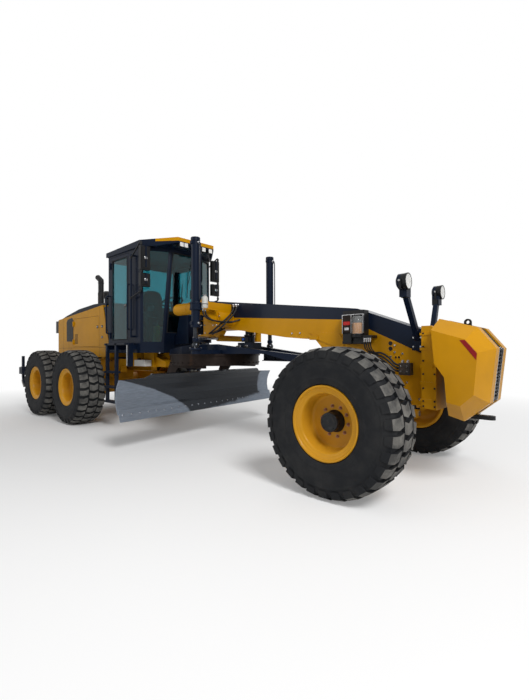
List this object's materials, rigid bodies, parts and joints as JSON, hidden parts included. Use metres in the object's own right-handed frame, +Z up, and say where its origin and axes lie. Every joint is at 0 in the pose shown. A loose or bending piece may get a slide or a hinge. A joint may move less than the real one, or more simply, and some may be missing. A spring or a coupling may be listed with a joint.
{
  "type": "motor grader",
  "caption": "Articulated motor grader with a glazed cab ahead of its engine hood, twin drive wheels a side, leaning front wheels, a circle-hung blade under the frame and a rear ripper.",
  "frame": {"origin": "on the ground, below the middle of the machine's length and width", "axes": "+X forward along the machine, +Y to its left, +Z up"},
  "size_m": [11.093, 3.6537, 3.47],
  "materials": {
    "amber_paint": "satin",
    "navy_paint": "satin",
    "black_plastic": "matte",
    "tyre": "matte",
    "tinted_glass": "gloss",
    "bright_rod": "polished",
    "worn_steel": "worn",
    "cast_iron": "matte",
    "brown_steel": "matte",
    "seat_fabric": "matte"
  },
  "bodies": {
    "rear_frame": {"rear_chassis": "amber_paint", "tandem_cases": "amber_paint", "engine_block": "cast_iron", "hood": "amber_paint", "hood_roof": "navy_paint", "exhaust_and_cleaner": "black_plastic", "cab_frame": "navy_paint", "cab_glass": "tinted_glass", "seat": "seat_fabric", "console": "black_plastic", "ladders": "navy_paint", "mirrors": "black_plastic", "rear_lamps": "black_plastic"},
    "cab_door_right": {"cab_door_right": "navy_paint", "cab_door_glass_right": "tinted_glass"},
    "cab_door_left": {"cab_door_left": "navy_paint", "cab_door_glass_left": "tinted_glass"},
    "engine_door_right": {"engine_door_right": "amber_paint"},
    "engine_door_left": {"engine_door_left": "amber_paint"},
    "wheel_rear_right_front": {"tyre_rear_right_front": "tyre", "rim_rear_right_front": "amber_paint"},
    "wheel_rear_right_back": {"tyre_rear_right_back": "tyre", "rim_rear_right_back": "amber_paint"},
    "wheel_rear_left_front": {"tyre_rear_left_front": "tyre", "rim_rear_left_front": "amber_paint"},
    "wheel_rear_left_back": {"tyre_rear_left_back": "tyre", "rim_rear_left_back": "amber_paint"},
    "wheel_front_right": {"tyre_front_right": "tyre", "rim_front_right": "amber_paint"},
    "wheel_front_left": {"tyre_front_left": "tyre", "rim_front_left": "amber_paint"},
    "front_frame": {"front_frame": "amber_paint", "lift_saddle": "amber_paint", "nose_housing": "amber_paint", "nose_grille": "black_plastic", "work_lamps": "navy_paint", "axle_beam": "amber_paint"},
    "lean_yoke_right": {"lean_yoke_right": "navy_paint"},
    "lean_yoke_left": {"lean_yoke_left": "navy_paint"},
    "knuckle_right": {"knuckle_right": "amber_paint"},
    "knuckle_left": {"knuckle_left": "amber_paint"},
    "lean_bar": {"lean_bar": "amber_paint"},
    "tie_rod_end": {"tie_rod_end": "bright_rod"},
    "tie_rod": {"tie_rod": "amber_paint"},
    "drawbar_ball": {"drawbar_ball": "bright_rod"},
    "drawbar": {"drawbar": "navy_paint", "circle_drive": "cast_iron"},
    "circle": {"circle": "brown_steel"},
    "blade_carrier": {"blade_carrier": "navy_paint"},
    "blade": {"mouldboard": "worn_steel", "cutting_edge": "worn_steel"},
    "lift_barrels": {"lift_barrels": "navy_paint"},
    "lift_rods": {"lift_rods": "bright_rod"},
    "side_shift_barrel": {"side_shift_barrel": "amber_paint"},
    "side_shift_rod": {"side_shift_rod": "bright_rod"},
    "ripper": {"ripper": "navy_paint"},
    "ripper_barrels": {"ripper_barrels": "amber_paint"},
    "ripper_rods": {"ripper_rods": "bright_rod"}
  },
  "joints": [
    {"name": "cab_door_right_hinge", "type": "hinge", "parent": "rear_frame", "child": "cab_door_right", "pos_m": [-1.0515, -0.815, 2.4], "axis": [0, 0, -1], "range_deg": [0, 85]},
    {"name": "cab_door_left_hinge", "type": "hinge", "parent": "rear_frame", "child": "cab_door_left", "pos_m": [-1.0515, 0.815, 2.4], "axis": [0, 0, 1], "range_deg": [0, 85]},
    {"name": "engine_door_right_hinge", "type": "hinge", "parent": "rear_frame", "child": "engine_door_right", "pos_m": [-3.2915, -0.615, 1.9], "axis": [0, 0, -1], "range_deg": [0, 80]},
    {"name": "engine_door_left_hinge", "type": "hinge", "parent": "rear_frame", "child": "engine_door_left", "pos_m": [-3.2915, 0.615, 1.9], "axis": [0, 0, 1], "range_deg": [0, 80]},
    {"name": "wheel_rear_right_front_spin", "type": "hinge", "parent": "rear_frame", "child": "wheel_rear_right_front", "pos_m": [-1.7415, -1.155, 0.74], "axis": [0, 1, 0], "continuous": true},
    {"name": "wheel_rear_right_back_spin", "type": "hinge", "parent": "rear_frame", "child": "wheel_rear_right_back", "pos_m": [-3.4415, -1.155, 0.74], "axis": [0, 1, 0], "continuous": true},
    {"name": "wheel_rear_left_front_spin", "type": "hinge", "parent": "rear_frame", "child": "wheel_rear_left_front", "pos_m": [-1.7415, 1.155, 0.74], "axis": [0, 1, 0], "continuous": true},
    {"name": "wheel_rear_left_back_spin", "type": "hinge", "parent": "rear_frame", "child": "wheel_rear_left_back", "pos_m": [-3.4415, 1.155, 0.74], "axis": [0, 1, 0], "continuous": true},
    {"name": "wheel_front_right_spin", "type": "hinge", "parent": "knuckle_right", "child": "wheel_front_right", "pos_m": [4.3285, -1.155, 0.74], "axis": [0, 1, 0], "continuous": true},
    {"name": "wheel_front_left_spin", "type": "hinge", "parent": "knuckle_left", "child": "wheel_front_left", "pos_m": [4.3285, 1.155, 0.74], "axis": [0, 1, 0], "continuous": true},
    {"name": "articulation", "type": "hinge", "parent": "rear_frame", "child": "front_frame", "pos_m": [0.8585, 0, 1.84], "axis": [0, 0, 1], "range_deg": [-25, 25]},
    {"name": "lean_right", "type": "hinge", "parent": "front_frame", "child": "lean_yoke_right", "pos_m": [4.3285, -0.77, 0.6], "axis": [1, 0, 0], "range_deg": [-18, 18]},
    {"name": "steer_right", "type": "hinge", "parent": "lean_yoke_right", "child": "knuckle_right", "pos_m": [4.3285, -0.905, 0.74], "axis": [0, 0, 1], "range_deg": [-45, 45]},
    {"name": "lean_left", "type": "hinge", "parent": "front_frame", "child": "lean_yoke_left", "pos_m": [4.3285, 0.77, 0.6], "axis": [1, 0, 0], "range_deg": [-18, 18]},
    {"name": "steer_left", "type": "hinge", "parent": "lean_yoke_left", "child": "knuckle_left", "pos_m": [4.3285, 0.905, 0.74], "axis": [0, 0, 1], "range_deg": [-45, 45]},
    {"name": "lean_bar_pivot", "type": "hinge", "parent": "lean_yoke_right", "child": "lean_bar", "pos_m": [4.4835, -0.77, 0.92], "axis": [1, 0, 0], "range_deg": [-18, 18]},
    {"name": "tie_rod_end_pivot", "type": "hinge", "parent": "knuckle_right", "child": "tie_rod_end", "pos_m": [4.1285, -0.905, 0.665], "axis": [0, 0, 1], "range_deg": [-45, 45]},
    {"name": "tie_rod_pivot", "type": "hinge", "parent": "tie_rod_end", "child": "tie_rod", "pos_m": [4.1285, -0.905, 0.665], "axis": [1, 0, 0], "range_deg": [-18, 18]},
    {"name": "drawbar_swing", "type": "hinge", "parent": "front_frame", "child": "drawbar_ball", "pos_m": [3.6585, 0, 1.25], "axis": [0, 0, 1], "range_deg": [-10, 10]},
    {"name": "drawbar_lift", "type": "hinge", "parent": "drawbar_ball", "child": "drawbar", "pos_m": [3.6585, 0, 1.25], "axis": [0, 1, 0], "range_deg": [-25, 1]},
    {"name": "circle_turn", "type": "hinge", "parent": "drawbar", "child": "circle", "pos_m": [1.1585, 0, 1.3997], "axis": [0, 0, 1], "continuous": true},
    {"name": "blade_tip", "type": "hinge", "parent": "circle", "child": "blade_carrier", "pos_m": [0.73101, -0.04644, 0.7], "axis": [-0.108, 0.9942, 0], "range_deg": [-5, 40]},
    {"name": "blade_side_shift", "type": "slide", "parent": "blade_carrier", "child": "blade", "axis": [-0.108, 0.9942, 0], "range_m": [-0.6, 0.6]},
    {"name": "lift_barrels_pivot", "type": "hinge", "parent": "front_frame", "child": "lift_barrels", "pos_m": [1.6945, 0, 2.12], "axis": [0, 1, 0], "range_deg": [-0.839, 0.13]},
    {"name": "lift_rods_slide", "type": "slide", "parent": "lift_barrels", "child": "lift_rods", "axis": [0, 0, -1], "range_m": [-0.0363, 0.8597]},
    {"name": "side_shift_barrel_pivot", "type": "hinge", "parent": "front_frame", "child": "side_shift_barrel", "pos_m": [1.4385, 0.72, 1.66], "axis": [1, 0, 0], "range_deg": [-1.7, 37.8]},
    {"name": "side_shift_rod_slide", "type": "slide", "parent": "side_shift_barrel", "child": "side_shift_rod", "axis": [0, -1, 0], "range_m": [-0.3895, 0.3895]},
    {"name": "ripper_lift", "type": "hinge", "parent": "rear_frame", "child": "ripper", "pos_m": [-4.6315, 0, 1.01], "axis": [0, 1, 0], "range_deg": [-38, 10]},
    {"name": "ripper_barrels_pivot", "type": "hinge", "parent": "rear_frame", "child": "ripper_barrels", "pos_m": [-4.6215, 0, 1.4], "axis": [0, 1, 0], "range_deg": [-26.31, 7.07]},
    {"name": "ripper_rods_slide", "type": "slide", "parent": "ripper_barrels", "child": "ripper_rods", "axis": [-0.9158, 0, -0.4017], "range_m": [-0.0575, 0.2129]}
  ],
  "couplings": [
    {"joint": "lean_left", "follows": "lean_right", "ratio": 1},
    {"joint": "steer_left", "follows": "steer_right", "ratio": 1},
    {"joint": "lean_bar_pivot", "follows": "lean_right", "ratio": -1},
    {"joint": "tie_rod_end_pivot", "follows": "steer_right", "ratio": -1},
    {"joint": "tie_rod_pivot", "follows": "lean_right", "ratio": -0.851},
    {"joint": "lift_barrels_pivot", "follows": "drawbar_lift", "ratio": 0.02957},
    {"joint": "lift_rods_slide", "follows": "drawbar_lift", "m_per_rad": -1.9658},
    {"joint": "side_shift_barrel_pivot", "follows": "drawbar_lift", "ratio": -1.5042},
    {"joint": "side_shift_rod_slide", "follows": "drawbar_swing", "m_per_rad": 2.22},
    {"joint": "ripper_barrels_pivot", "follows": "ripper_lift", "ratio": 0.68706},
    {"joint": "ripper_rods_slide", "follows": "ripper_lift", "m_per_rad": -0.31798}
  ]
}
